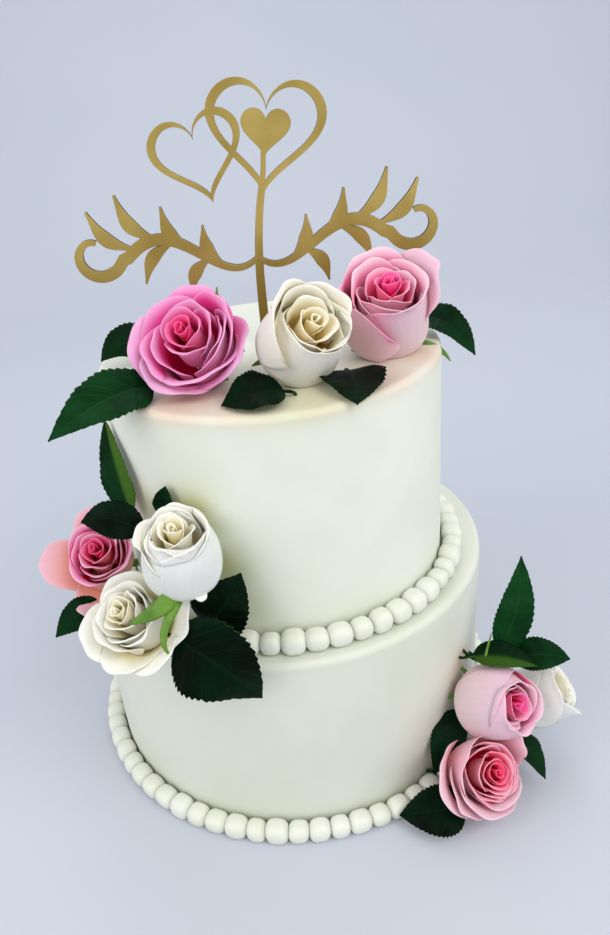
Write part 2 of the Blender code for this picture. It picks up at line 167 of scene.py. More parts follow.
def shell(points, thickness):
    """A thin closed shell round a sheet of points (rows, columns, 3).

    The front lies half the thickness along the sheet's normal, which is across times along, and the
    back as far behind it. Four strips of quads close the rim. Returns points, faces, front flags."""
    rows, cols = points.shape[:2]
    normal = np.cross(np.gradient(points, axis=1), np.gradient(points, axis=0))
    normal /= np.linalg.norm(normal, axis=2, keepdims=True) + 1e-12
    both = np.concatenate([points + normal * thickness / 2, points - normal * thickness / 2])
    half = rows * cols
    front = quads(rows, cols)
    index = np.arange(half).reshape(rows, cols)
    edges = [(index[0, :-1], index[0, 1:]), (index[-1, 1:], index[-1, :-1])]
    edges += [(index[1:, 0], index[:-1, 0]), (index[:-1, -1], index[1:, -1])]
    rim = [np.stack([a, a + half, b + half, b], -1) for a, b in edges]
    return both.reshape(-1, 3), [front, front[:, ::-1] + half, *rim], np.repeat([1.0, 0.0], half)


def both_faces(values):
    """A grid of values, once for the front of a shell and once for its back."""
    return np.tile(values.reshape(-1), 2)


def closed_round(points):
    """Faces of a grid of rings (rings, steps, 3) whose ends are closed with a fan to a middle point."""
    rings, steps = points.shape[:2]
    middles = np.stack([points[0].mean(0), points[-1].mean(0)])
    step = np.arange(steps)
    following = (step + 1) % steps
    middle, base = np.full(steps, rings * steps), (rings - 1) * steps
    low = np.stack([middle, following, step], -1)
    high = np.stack([middle + 1, base + step, base + following], -1)
    return np.concatenate([points.reshape(-1, 3), middles]), [quads(rings, steps, wrap=True), low, high]


# Materials


class Finish:
    """A material with one Principled shader, whose nodes are added by name and values."""

    def __init__(self, name, **sockets):
        self.material = bpy.data.materials.new(name)
        self.material.use_nodes = True
        self.tree = self.material.node_tree
        self.shader = self.tree.nodes["Principled BSDF"]
        for key, value in sockets.items():
            self.put(self.shader, key.replace("_", " "), value)

    def put(self, node, key, value):
        socket = node.inputs[key]
        if isinstance(value, bpy.types.NodeSocket):
            self.tree.links.new(value, socket)
        else:
            socket.default_value = value

    def node(self, kind, inputs=None, **settings):
        made = self.tree.nodes.new("ShaderNode" + kind)
        for key, value in settings.items():
            setattr(made, key, value)
        for key, value in (inputs or {}).items():
            self.put(made, key, value)
        return made

    def attribute(self, name):
        return self.node("Attribute", attribute_name=name).outputs["Fac"]

    def place(self):
        return self.node("TexCoord").outputs["Object"]

    def noise(self, scale, detail, vector=None):
        inputs = {"Scale": scale, "Detail": detail, "Roughness": 0.55, "Vector": vector or self.place()}
        return self.node("TexNoise", inputs).outputs["Fac"]

    def spread(self, value, low, high, start=0.0, end=1.0):
        """A value from start to end, spread from low to high."""
        inputs = {"Value": value, "From Min": start, "From Max": end, "To Min": low, "To Max": high}
        return self.node("MapRange", inputs).outputs["Result"]

    def tones(self, value, stops):
        """A run of screen colours, each a (position, red, green, blue)."""
        return self.ramp(value, [(position, colour(*shade)) for position, *shade in stops])

    def fading(self, value, start, end):
        """White up to start and black from end on."""
        return self.ramp(value, [(start, (1, 1, 1, 1)), (end, (0, 0, 0, 1))])

    def ramp(self, value, stops):
        made = self.node("ValToRGB", {"Fac": value})
        made.color_ramp.interpolation = "EASE"
        stop_list = made.color_ramp.elements
        while len(stop_list) < len(stops):
            stop_list.new(0.5)
        for element, (position, shade) in zip(stop_list, stops):
            element.position = position
            element.color = shade
        return made.outputs["Color"]

    def math(self, operation, first, second=0.0):
        return self.node("Math", {0: first, 1: second}, operation=operation).outputs["Value"]

    def times(self, first, second):
        return self.math("MULTIPLY", first, second)

    def mix(self, share, first, second, blend="MIX"):
        made = self.node("Mix", {0: share, 6: first, 7: second}, data_type="RGBA", blend_type=blend)
        return made.outputs[2]

    def bump(self, height, strength, distance):
        made = self.node("Bump", {"Height": height, "Strength": strength, "Distance": distance})
        self.put(self.shader, "Normal", made.outputs["Normal"])

    def finish(self, base, roughness):
        self.put(self.shader, "Base Color", base)
        self.put(self.shader, "Roughness", roughness)
        return self.material


def buttercream(name, lit, dim):
    """Ivory buttercream: two near shades in soft patches, faint scraper bands and fine pores, and painted
    pink reflection and shade where petals lie close and painted green reflection and shade where leaves lie
    close."""
    made = Finish(
        name, Subsurface_Weight=0.25, Subsurface_Scale=4 * MM, Subsurface_Radius=(1.0, 0.8, 0.5),
        Specular_IOR_Level=0.35,
    )
    patches = made.noise(18, 3)
    stretched = made.node("Mapping", {"Vector": made.place(), "Scale": (6, 6, 160)}).outputs["Vector"]
    bands = made.noise(1.0, 2, stretched)
    pores = made.noise(900, 2)
    base = made.tones(patches, [(0.35, *dim), (0.65, *lit)])
    # Painted pink reflection and shade near the roses, and painted green reflection and shade near the
    # leaves.
    base = made.mix(made.attribute("blush"), base, colour(212, 168, 144))
    base = made.mix(made.attribute("olive"), base, colour(176, 178, 100))
    height = made.math("ADD", made.times(bands, 0.8), made.times(pores, 0.2))
    made.bump(height, 0.16, 0.8 * MM)
    return made.finish(base, made.spread(bands, 0.42, 0.58))


def petal_finish(name, inside, outside, heart, scatter=(1.0, 0.55, 0.55)):
    """Rose petal: each face runs from its root colour to its rim colour, deeper towards the heart and paler
    inside the outermost petals, with faint veins along the petal and a velvet sheen. The deep roots are
    partly the petal's own colour and partly painted shade and reflected light between the petals."""
    made = Finish(
        name, Subsurface_Weight=0.5, Subsurface_Scale=2.5 * MM, Subsurface_Radius=scatter,
        Specular_IOR_Level=0.12, Sheen_Weight=0.05, Sheen_Roughness=0.4,
    )
    reach = made.attribute("reach")
    order = made.attribute("order")
    # Deep roots of the inside and heart runs: partly own colour, partly painted shade and reflected light
    # between the petals.
    outer_tone = made.tones(reach, outside)
    inner_tone = made.mix(made.attribute("pale"), made.tones(reach, inside), outer_tone)
    petal = made.mix(made.attribute("outer_face"), inner_tone, outer_tone)
    base = made.mix(made.fading(order, 0.12, 0.62), petal, made.tones(reach, heart))
    grid = {"X": made.attribute("across"), "Y": reach, "Z": order}
    place = made.node("CombineXYZ", grid).outputs["Vector"]
    lines = made.node("Mapping", {"Vector": place, "Scale": (15, 1.3, 9)}).outputs["Vector"]
    veins = made.noise(1.0, 3, lines)
    mottle = made.noise(110, 3)
    shade = made.ramp(veins, [(0.3, (0.93, 0.92, 0.92, 1)), (0.7, (1, 1, 1, 1))])
    base = made.mix(0.4, base, shade, "MULTIPLY")
    height = made.math("ADD", veins, made.times(mottle, 0.6))
    made.bump(height, 0.06, 0.2 * MM)
    return made.finish(base, made.spread(mottle, 0.5, 0.68))


def leaf_finish():
    """Rose leaf: waxy dark green upper face with a paler midrib and slanting veins, matt pale underside.
    Leaves in shade are painted near black and lit ones a fresher green, as painted light, and one half of
    some is painted lighter, as painted light on that half; the stalks' fresher green is their own."""
    made = Finish("leaf_green", Specular_IOR_Level=0.05)
    across = made.attribute("across")
    along = made.attribute("reach")
    upper_face = made.attribute("outer_face")
    off_rib = made.math("ABSOLUTE", across)
    slant = made.math("SUBTRACT", made.times(along, 9.0), made.times(off_rib, 2.2))
    wiggle = made.times(made.noise(90, 2), 0.5)
    saw = made.math("PINGPONG", made.math("ADD", slant, wiggle), 0.5)
    side_vein = made.times(made.fading(saw, 0.0, 0.09), 0.55)
    vein = made.math("MAXIMUM", side_vein, made.fading(off_rib, 0.02, 0.07))
    patches = made.noise(60, 4)
    # Painted light: leaves in shade near black, lit leaves a fresher green with their veins showing more; the
    # stalks' fresh green is their own.
    old = made.tones(patches, [(0.3, 0, 8, 2), (0.7, 0, 24, 9)])
    fresh = made.tones(patches, [(0.3, 0, 44, 12), (0.7, 14, 66, 28)])
    green = made.mix(made.attribute("young"), old, fresh)
    # Painted light on one half of some leaves.
    green = made.mix(made.attribute("bright"), green, colour(86, 128, 40))
    shown = made.math("ADD", made.times(made.attribute("young"), 0.22), 0.05)
    upper = made.mix(made.times(vein, shown), green, colour(34, 96, 44))
    under = made.mix(made.times(vein, 0.5), colour(72, 98, 48), colour(120, 145, 85))
    base = made.mix(upper_face, under, upper)
    cells = made.times(made.noise(700, 2), 0.25)
    made.bump(made.math("SUBTRACT", cells, vein), 0.5, 0.35 * MM)
    return made.finish(base, made.spread(patches, 0.36, 0.55))


def green_finish():
    """Stem, hip and sepals: fresh yellow-green in soft patches."""
    made = Finish("sepal_green", Subsurface_Weight=0.15, Subsurface_Scale=1 * MM, Specular_IOR_Level=0.35)
    patches = made.noise(120, 3)
    tone = made.tones(patches, [(0.3, 70, 112, 30), (0.7, 104, 144, 46)])
    made.bump(patches, 0.3, 0.3 * MM)
    return made.finish(tone, made.spread(patches, 0.4, 0.6))


def gold_finish():
    """Gold painted sheet: satin faces with a fine orange-peel grain, which deepen down the stick, and
    darker cut edges."""
    made = Finish("gold_sheet", Metallic=0.55, Specular_IOR_Level=0.5)
    cut = made.attribute("cut_edge")
    grain = made.noise(420, 4)
    clouds = made.noise(30, 2)
    face = made.tones(clouds, [(0.3, 156, 133, 62), (0.7, 186, 163, 90)])
    height = made.node("SeparateXYZ", {"Vector": made.place()}).outputs["Z"]
    low = made.spread(height, 0.0, 1.0, 285 * MM, 235 * MM)
    face = made.mix(made.times(low, 0.6), face, colour(116, 88, 30))
    edge = made.tones(grain, [(0.35, 64, 43, 12), (0.65, 108, 82, 30)])
    made.bump(grain, 0.2, 0.2 * MM)
    return made.finish(made.mix(cut, face, edge), made.spread(grain, 0.36, 0.52))


# Tiers and pearls

# Painted pink reflection and shade from petals and green from leaves on the cream: place, reach and strength
BLUSH = [
    (-38, -70, 222, 20, 0.6), (-12, -76, 222, 18, 0.5), (22, -80, 222, 18, 0.35), (48, -64, 222, 20, 0.5),
    (72, -38, 222, 20, 0.5), (84, -68, 62, 9, 0.5), (83, -70, 48, 9, 0.6), (-50, -75, 145, 16, 0.3),
]
OLIVE = [
    (-38, -82, 178, 10, 0.8), (-33, -83, 168, 11, 0.5), (-28, -84, 150, 13, 0.7), (-62, -66, 172, 10, 0.5),
    (-20, -88, 128, 12, 0.4), (10, -80, 222, 24, 0.36), (-66, -50, 222, 12, 0.4), (84, -68, 30, 12, 0.6),
]


def nearness(points, spots):
    """How near points lie to spots (x, y, z, reach, strength) in millimetres: the strongest bell curve,
    which is flat for a spot on the top of the cake, so that it stays off the wall."""
    spots = np.array(spots, float)
    gap = points[..., None, :] - spots[:, :3] * MM
    gap[..., 2] *= np.where(spots[:, 2] > 220, 4, 1)
    bell = np.exp(-np.sum(gap**2, -1) / (spots[:, 3] * MM) ** 2) * spots[:, 4]
    return bell.max(-1)


def tier_piece(name, radius, low, high, shift, material, node, phase):
    """A tier turned round its axis: a flat top with a soft shoulder, a wall and a flat bottom.

    The profile is a list of (radius, height); each ring's radius also waves by up to half a
    millimetre round the cake and up it, and the top by less, as a hand-held scraper leaves it."""
    shoulder = 3.2 * MM
    bend = np.linspace(0, math.pi / 2, 10)
    top_r = np.linspace(0.04, 1, 26)[:-1] * (radius - shoulder)
    corner_r = radius - shoulder + shoulder * np.sin(bend)
    corner_z = high - shoulder + shoulder * np.cos(bend)
    wall_z = np.linspace(high - shoulder, low, 60)[1:]
    foot_r = np.linspace(radius, 0.1 * radius, 6)[1:]
    ring_r = np.concatenate([top_r, corner_r, np.full(len(wall_z), radius), foot_r])
    ring_z = np.concatenate([np.full(len(top_r), high), corner_z, wall_z, np.full(len(foot_r), low)])
    angle = circle(288)[None, :]
    r, z = ring_r[:, None], ring_z[:, None]
    wave = np.sin(3 * angle + phase + 40 * z) + 0.6 * np.sin(7 * angle - 65 * z + 2 * phase)
    wave = wave + 0.5 * np.sin(13 * angle + 210 * z)
    wall_share = smooth((z - low) / (2 * MM)) * smooth((r - 0.6 * radius) / (0.4 * radius))
    r = r - 0.12 * MM * (2.1 + wave) * wall_share
    swirl = np.sin(45 * r / radius + 2 * angle + phase)
    top_share = smooth((z - high + 0.5 * MM) / (0.5 * MM)) * smooth((radius - r) / (12 * MM))
    z = z - 0.1 * MM * (1 + swirl) * top_share
    rings = np.stack([shift[0] + r * np.cos(angle), shift[1] + r * np.sin(angle), z + 0 * angle], -1)
    build = Build()
    points, faces = closed_round(rings[::-1])
    # Painted pink and green reflection and shade on the cream near the roses and leaves.
    build.add(points, faces, blush=nearness(points, BLUSH), olive=nearness(points, OLIVE))
    build.piece(name, material, [node])


def signed_power(x, power):
    """The power of a number's size, with the number's sign."""
    return np.sign(x) * np.abs(x) ** power


def pearl_ring(name, ring_radius, floor, shift, seed, material, node):
    """Piped pearls: each is a squared ball, whose sines and cosines are raised to powers under one with
    their sign kept, so that it presses flat against its neighbours. Its foot is flat, its crown is off
    centre, and no two are of one size. One grid per pearl, in one mesh."""
    foot = 0.86
    rng = np.random.default_rng(seed)
    count = round(2 * math.pi * ring_radius / PEARL_PITCH)
    size = 1 + rng.uniform(-0.08, 0.08, count)
    edge = np.concatenate([[0], np.cumsum(size)]) * 2 * math.pi / size.sum()
    middle = (edge[1:] + edge[:-1]) / 2
    latitude = np.linspace(0, np.pi, 18)[1:-1][:, None]
    longitude = circle(28)[None, :]
    inward = signed_power(np.cos(longitude), 0.8)
    sideways = signed_power(np.sin(longitude), 0.66)
    out = np.sin(latitude) ** 0.72
    build = Build()
    for k in range(count):
        reach = PEARL_RADIUS * min(1.0, size[k]) * rng.uniform(0.965, 1.0)
        x = reach * out * inward
        y = reach * 1.06 * size[k] * out * sideways
        lift = signed_power(np.cos(latitude), 0.9) * (1 + 0.05 * rng.uniform(-1, 1))
        z = reach * np.where(lift < -foot, 0.15 * (lift + foot) - foot, lift) + 0 * longitude
        lean = rng.uniform(-0.12, 0.12, 2)
        x, y = x + lean[0] * z, y + lean[1] * z
        place = turned(ring_radius + x, y, floor + z - z.min(), middle[k]) + [*shift, 0]
        build.add(*closed_round(place[::-1]))
    build.piece(name, material, [node])


# Roses

PETAL_ROWS, PETAL_COLS = 32, 29
PETAL_THICKNESS = 0.32 * MM
SEPAL_THICKNESS = 0.5
STRAP_THICKNESS = 0.4 * MM
STEM_RADIUS = 2 * MM
MOUTH_HEIGHT = 34
GOLDEN_ANGLE = 137.5


class Petal(NamedTuple):
    """Shape of one petal, in millimetres and degrees.

    azimuth is where it stands round the rose's axis and root its (distance, height) there. Its leans
    from the axis are those at the foot, from the knee on and at the rim; curl is added over the last
    sixth and roll towards the two side edges, so that they turn back. length is measured along it,
    width is half its breadth and fall the share of its length that the rim drops at its sides. order
    runs from the heart 0 to the outside 1, and pale is how much of its inner face has the outside's
    colour."""

    azimuth: float
    root: tuple
    leans: tuple
    length: float
    width: float
    curl: float = 30
    roll: float = 50
    knee: float = 0.48
    order: float = 1.0
    pale: float = 0.0
    fall: float = None


def heart_petals(count, radius, rng):
    """The wound heart: petals a golden angle apart, each a little further out and more open."""
    petals = []
    for k in range(count):
        f = k / (count - 1)
        petals.append(Petal(
            azimuth=GOLDEN_ANGLE * k + rng.uniform(-14, 14),
            root=(1.0 + 0.42 * radius * f, 12 - 5 * f),
            leans=(4 + 50 * f, -5 + 7 * f + rng.uniform(-2, 2), 1 + 14 * f + rng.uniform(-3, 3)),
            length=28 + 3 * f + rng.uniform(-1.2, 1.2),
            width=6.5 + (radius * 1.05) * f**0.8,
            curl=14 + 22 * f,
            roll=6 + 30 * f,
            knee=0.42,
            order=0.62 * f,
        ))
    return petals


def petal_sheet(petal, rng):
    """One petal as a sheet of points about the rose's axis, with its across and along shares.

    Each column of the sheet is a curve whose lean changes smoothly along its arc; its distance and
    height are the running sums of the lean's sine and cosine. Across, the columns stand on an arc
    about the axis. The rim is rounded, a little ruffled, and one edge lies further out than the
    other, so that each petal tucks under its neighbour."""
    v, u = shares(PETAL_ROWS, PETAL_COLS)
    open_share = petal.order
    fall = 0.13 + 0.13 * open_share if petal.fall is None else petal.fall
    ripple = 0.012 * open_share * np.sin(9 * u + rng.uniform(0, 6))
    t = v * (1 - fall * np.abs(u) ** 2.3 * v) * (1 + ripple * v)
    low, mid, tip = petal.leans
    knee = petal.knee
    lean = mid + (low - mid) * (1 - smooth(t / knee)) + (tip - mid) * smooth((t - knee) / (1 - knee))
    lean = lean + petal.curl * smooth((t - 0.82) / 0.18) ** 1.5
    lean = lean + petal.roll * np.abs(u) ** 3 * smooth((t - 0.42) / 0.55)
    waves = np.sin(2 * np.pi * rng.uniform(0.6, 1.0) * u + rng.uniform(0, 6))
    waves = waves + 0.3 * np.sin(4.1 * np.pi * u + rng.uniform(0, 6)) * open_share
    lean = np.radians(lean + (2.5 + 3.5 * open_share) * waves * smooth((t - 0.5) / 0.5))
    step = petal.length * np.diff(t, axis=0)
    mean = (lean[1:] + lean[:-1]) / 2
    start = np.zeros((1, PETAL_COLS))
    out = petal.root[0] + np.concatenate([start, np.cumsum(np.sin(mean) * step, 0)])
    height = petal.root[1] + np.concatenate([start, np.cumsum(np.cos(mean) * step, 0)])
    centre = out[:, PETAL_COLS // 2][:, None]
    bend = np.maximum(centre, 1.5)
    half = petal.width * (0.3 + 0.7 * smooth(t / 0.6))
    angle = u * np.minimum(half / bend, 2.4)
    lap = (0.5 + 1.0 * open_share) * u * smooth(v / 0.4)
    ray = bend + (out - centre) + lap
    radial = centre - bend + ray * np.cos(angle)
    sheet = turned(radial, ray * np.sin(angle), height, math.radians(petal.azimuth))
    return sheet, u + 0 * t, t


def ball_grid(radius, height, rows=14, steps=20):
    """Rings of an egg standing on the origin: radius times sine, height times half of one less cosine."""
    latitude = np.linspace(0, np.pi, rows + 2)[1:-1][:, None]
    longitude = circle(steps)[None, :]
    out = radius * np.sin(latitude)
    up = height * (1 - np.cos(latitude)) / 2
    return np.stack([out * np.cos(longitude), out * np.sin(longitude), up + 0 * longitude], -1)


def tube(points, radii, steps=10):
    """Rings round a line of points: each ring lies across the line's direction there."""
    along = unit(np.gradient(points, axis=0))
    side = unit(np.cross(along, [0.31, 0.95, 0.05]))
    other = np.cross(along, side)
    angle = circle(steps)[None, :, None]
    ring = np.cos(angle) * side[:, None] + np.sin(angle) * other[:, None]
    return points[:, None] + ring * np.asarray(radii)[:, None, None]


def sepal_sheet(turn, length, width, lean, hang):
    """A sepal: a lance-shaped strip whose lean from the axis grows from its foot to its tip."""
    t, u = shares(22, 7)
    angle = np.radians(lean + (hang - lean) * smooth(t))
    step = length / 21
    away = 3.2 + np.cumsum(np.sin(angle), 0) * step
    up = 1.0 + np.cumsum(np.cos(angle), 0) * step
    half = width / 2 * (0.55 + 1.2 * t) * (1 - t) ** 0.8 + 0.15
    dish = 0.6 * (1 - u**2) * (1 - t)
    return turned(away + dish, u * half, up + 0 * u, turn)


def strap_sheet(line, width):
    """A long sepal along a cubic curve in the cake's millimetres, flat towards the front: its width
    tapers to a point, and its middle is raised."""
    t, u = shares(30, 7)
    rib = bezier(*line, 30)
    along = unit(np.gradient(rib, axis=0))
    side = unit(np.cross(along, [0.1, -0.9, 0.45]))
    out = np.cross(side, along)
    half = width / 2 * (0.75 + 0.9 * t) * (1 - t) ** 0.9 + 0.2
    rise = 0.25 * half * (1 - u**2)
    return rib[:, None] + side[:, None] * (u * half)[..., None] + out[:, None] * rise[..., None]


def rose_frame(rose):
    """Table from a rose's own millimetres to the cake: +Z the way it faces, +X as far right as it can."""
    z = Vector(rose["faces"]).normalized()
    x = (Vector((1, 0, 0)) - z * z.x).normalized()
    y = z.cross(x)
    size = rose["scale"] * MM
    base = Vector(rose["mouth"]) * MM - z * MOUTH_HEIGHT * size
    turn = Matrix((x, y, z)).transposed().to_4x4()
    return np.array(Matrix.Translation(base) @ turn @ Matrix.Scale(size, 4))


def placed(table, points):
    """Points of a grid carried by a 4 by 4 table."""
    return points @ table[:3, :3].T + table[:3, 3]


def rose_pieces(name, rose):
    """Petals of one rose as one piece, and its hip, sepals, straps and stem as another."""
    rng = np.random.default_rng(rose["seed"])
    table = rose_frame(rose)
    thickness = PETAL_THICKNESS / (rose["scale"] * MM)
    petals = Build()
    for petal in heart_petals(*rose["heart"], rng) + rose["petals"]:
        sheet, u, t = petal_sheet(petal, rng)
        points, faces, front = shell(sheet, thickness)
        paleness = np.clip(t + 0.22 * np.abs(u) ** 5, 0, 1)
        petals.add(
            placed(table, points), faces, reach=both_faces(paleness), across=both_faces(u),
            order=petal.order, pale=petal.pale, outer_face=front,
        )
    core, core_faces = closed_round(ball_grid(radius=3.5, height=24))
    petals.add(placed(table, core), core_faces, reach=0.35, across=0, order=0, pale=0, outer_face=0)
    petals.piece("petals_" + name, rose["material"], ["rose_" + name])

    greens = Build()
    hip, hip_faces = closed_round(ball_grid(radius=4.6, height=9))
    greens.add(placed(table, hip - [0, 0, 4]), hip_faces)
    for azimuth, length, width, lean, hang in rose["sepals"]:
        sheet = sepal_sheet(math.radians(azimuth), length, width, lean, hang)
        points, faces, _ = shell(sheet, SEPAL_THICKNESS)
        greens.add(placed(table, points), faces)
    for line, width in rose.get("straps", []):
        points, faces, _ = shell(strap_sheet(line, width) * MM, STRAP_THICKNESS)
        greens.add(points, faces)
    line = np.linspace(table[:3, 3], np.array(rose["anchor"]) * MM, 8)
    greens.add(*closed_round(tube(line, np.full(8, STEM_RADIUS))))
    greens.piece("greens_" + name, sepal_green, [])


def star(first, length=17, width=5, lean=95, hang=135):
    """Five sepals evenly round the hip."""
    return [(first + 72 * k, length, width, lean, hang) for k in range(5)]


# Leaves

LEAF_THICKNESS = 0.5 * MM
LEAF_ROWS, LEAF_COLS = 115, 17
LEAF_TEETH = 19
LEAF_FOLD = math.radians(16)
STALK_DEPTH = 3


def stalk_end(root):
    """The place in either tier, a stalk's depth under the cream, that lies nearest to a leaf's root."""
    places = []
    tiers = (
        (np.zeros(2), LOWER_RADIUS / MM, 0, LOWER_HEIGHT / MM),
        (np.array(UPPER_SHIFT) / MM, UPPER_RADIUS / MM, LOWER_HEIGHT / MM, TOP / MM),
    )
    for centre, radius, low, high in tiers:
        off = root[:2] - centre
        inward = min(1, (radius - STALK_DEPTH) / np.linalg.norm(off))
        height = min(max(root[2], low + STALK_DEPTH), high - STALK_DEPTH)
        places.append(np.array([*(centre + off * inward), height]))
    return min(places, key=lambda place: np.linalg.norm(root - place))


def leaf_piece(name, leaf, young=0.03, bright=0.0):
    """A rose leaf: its rib is a quadratic curve from root to tip, its halves fold up from the rib, quilt a
    little between the veins and wave, and its edge is toothed like a saw, points forward. Its stalk, a tube
    along a cubic curve, runs on from the root into the cream. The two tones after the leaf are painted light:
    how light and fresh its green is painted, and how much lighter one half is painted: the right one if above
    0."""
    *places, width = leaf
    root, bend, tip, faces = (np.array(place, float) for place in places)
    t, u = shares(LEAF_ROWS, LEAF_COLS)
    off_rib = np.abs(u)
    rib = (1 - t) ** 2 * root + 2 * t * (1 - t) * bend + t * t * tip
    along = unit((1 - t) * (bend - root) + t * (tip - bend))
    side = unit(np.cross(along, faces))
    out = np.cross(side, along)
    blade = np.clip(t - 0.12, 0, 1) / 0.88
    half = np.maximum(1.31 * width * blade**0.62 * (1 - blade), 1 - 0.85 * t)
    saw = (t * LEAF_TEETH) % 1
    tooth = 1 + 0.085 * (saw - 0.5) * smooth((off_rib - 0.6) / 0.4) * smooth(blade / 0.15)
    across = u * half * tooth
    quilt = 0.22 * np.cos(2 * np.pi * (9 * t - 1.1 * off_rib)) * off_rib * (1.2 - off_rib)
    wave = 0.06 * half * np.sin(9 * t + 2 * u) * off_rib + 0.03 * half * np.sin(23 * t - 3 * u) * u**2
    fold = np.abs(across) * math.sin(LEAF_FOLD) * (1 - 0.35 * off_rib)
    rise = fold + quilt * smooth(blade / 0.2) + wave
    reach = across * math.cos(LEAF_FOLD)
    sheet = rib[:, None] + side[:, None] * reach[..., None] + out[:, None] * rise[..., None]
    points, rim_faces, front = shell(sheet * MM, LEAF_THICKNESS)
    build = Build()
    across_share, along_share = both_faces(u + 0 * t), both_faces(t + 0 * u)
    # Painted light: how lit the leaf's green looks, with a little change along it, and one lighter half.
    youth = np.clip(young + 0.08 * np.cos(7 * along_share + across_share), 0, 1)
    lit_half = abs(bright) * smooth(0.2 + 2.5 * across_share * np.sign(bright))
    build.add(
        points, rim_faces, reach=along_share, across=across_share, outer_face=front, young=youth,
        bright=lit_half,
    )
    end = stalk_end(root)
    back = unit(root - bend) * np.linalg.norm(root - end)
    line = bezier(root, root + 0.5 * back, root + 0.3 * back + 0.5 * (end - root), end, 12)
    stalk, stalk_faces = closed_round(tube(line * MM, np.linspace(0.7, 0.9, 12) * MM, 8))
    build.add(stalk, stalk_faces, reach=0, across=0, outer_face=1, young=0.6, bright=0)
    build.piece("blade_" + name, leaf_green, ["leaf_" + name])


# Topper

TOPPER_X = 2 * MM
TOPPER_HALF_DEPTH = 1.5


def curl(centre, start_radius, end_radius, start_angle, sweep, count):
    """An arc that winds in: its radius falls evenly while it turns."""
    share = np.linspace(0, 1, count)
    angle = np.radians(start_angle + sweep * share)
    radius = start_radius + (end_radius - start_radius) * share
    return np.stack([centre[0] + radius * np.cos(angle), centre[1] + radius * np.sin(angle)], -1)


def heart_line(count):
    """A heart one unit wide: the usual sum of sines and cosines."""
    t = circle(count)
    x = 16 * np.sin(t) ** 3
    z = 13 * np.cos(t) - 5 * np.cos(2 * t) - 2 * np.cos(3 * t) - np.cos(4 * t)
    return np.stack([x, z], -1) / 32


def swell(count, thin, thick):
    """Pen widths that swell from thin to thick and back."""
    return thin + (thick - thin) * np.sin(np.linspace(0, np.pi, count)) ** 1.3


def sheet_bar(build, left, right, closed, depth):
    """A flat bar between two outlines in the topper's plane, as a box profile with eased corners.

    The profile's twelve points run front, edge, back, edge; those of the edges carry cut_edge 1."""
    ease = 0.18
    middle = (left + right) / 2

    def eased(line):
        off = middle - line
        return line + off * ease / np.maximum(np.linalg.norm(off, axis=1)[:, None], ease)

    inner_left, inner_right = eased(left), eased(right)
    near, far = ease - depth, depth - ease
    corners = [
        (inner_left, -depth, 0), (left, near, 0), (left, near, 1), (left, far, 1), (left, far, 0),
        (inner_left, depth, 0), (inner_right, depth, 0), (right, far, 0), (right, far, 1),
        (right, near, 1), (right, near, 0), (inner_right, -depth, 0),
    ]
    rings = np.stack([
        np.stack([line[:, 0], np.full(len(line), y), line[:, 1]], -1) for line, y, _ in corners
    ], 1)
    flags = np.array([flag for *_, flag in corners], float)
    if closed:
        rings = np.concatenate([rings, rings[:1]])
    place = rings * MM + [TOPPER_X, 0, 0]
    rows, cols = place.shape[:2]
    faces = [quads(rows, cols, wrap=True)]
    if not closed:
        ends = np.arange(cols)
        faces += [ends[None, ::-1], ends[None, :] + (rows - 1) * cols]
    build.add(place, faces, cut_edge=np.tile(flags, rows))


def stroke(build, points, widths, depth):
    """A pen stroke: the bar between its line's offsets to both sides by half its width."""
    points = np.asarray(points, float)
    along = unit(np.gradient(points, axis=0))
    side = np.stack([-along[:, 1], along[:, 0]], -1) * (np.asarray(widths) / 2)[:, None]
    sheet_bar(build, points + side, points - side, False, depth)


FRONDS = (((16, 262), (24, 281)), ((30, 270), (42, 291)), ((45, 276), (62, 298)), ((56, 273), (76, 292)),
          ((22, 266), (33, 250)), ((38, 275), (54, 257)))
HEARTS = (((9, 318.7), 53, -0.14, 3.4), ((-22, 312), 42, 0.20, 3.0), ((9, 318.7), 22, -0.14, 10.9))


def topper_piece(material):
    """Two linked hearts, one holding a small solid heart, over mirrored scrolls with pointed fronds.

    Every stroke is a few hundredths of a millimetre thicker or thinner than the next, so that
    faces that cross never lie in one plane."""
    build = Build()
    depth = TOPPER_HALF_DEPTH
    for side in (1, -1):
        mirror = np.array([side, 1])
        wave = bezier((0, 264), (20, 246), (36, 296), (62, 268), 40)
        end = curl((75, 273), 12.5, 5, 200, 260, 40)
        depth -= 0.02
        stroke(build, np.concatenate([wave[:-1], end]) * mirror, swell(79, 2.4, 5.6), depth)
        for start, tip in FRONDS:
            start, tip = np.array(start, float), np.array(tip, float)
            reach = tip - start
            bend = start + 0.5 * reach + 0.22 * np.array([reach[1], -reach[0]]) * np.sign(reach[1])
            depth -= 0.012
            stroke(build, bezier(start, bend, bend, tip, 20) * mirror, swell(20, 1.0, 6.4), depth)
    for centre, size, tilt, line_width in HEARTS:
        c, s = math.cos(tilt), math.sin(tilt)
        line = heart_line(120) @ np.array([[c, s], [-s, c]])
        depth -= 0.02
        shrink = size - 2.3 * line_width if line_width < size / 3 else 0.05
        sheet_bar(build, line * size + centre, line * shrink + centre, True, depth)
    rise = np.linspace(0, 1, 14)
    stick = [(0, 206), (0, 211), *np.stack([4.6 * rise**2.6, 240 + 53 * rise], -1), (6.2, 301), (7.2, 310)]
    stroke(build, stick, [0.4, 4.4, *(4.4 - 1.2 * rise), 2.3, 2.2], depth - 0.04)
    obj = build.piece("gold_topper", material, ["topper"])
    obj.data.set_sharp_from_angle(angle=math.radians(35))


# Finishes

ivory = buttercream("buttercream_ivory", (223, 226, 215), (218, 222, 208))
# The lower tier's buttercream: the same ivory a little darker, as painted shade.
ivory_below = buttercream("buttercream_ivory_below", (213, 216, 204), (208, 212, 197))
pearl_ivory = buttercream("buttercream_pearls", (221, 223, 213), (217, 219, 206))
leaf_green = leaf_finish()
sepal_green = green_finish()
gold = gold_finish()
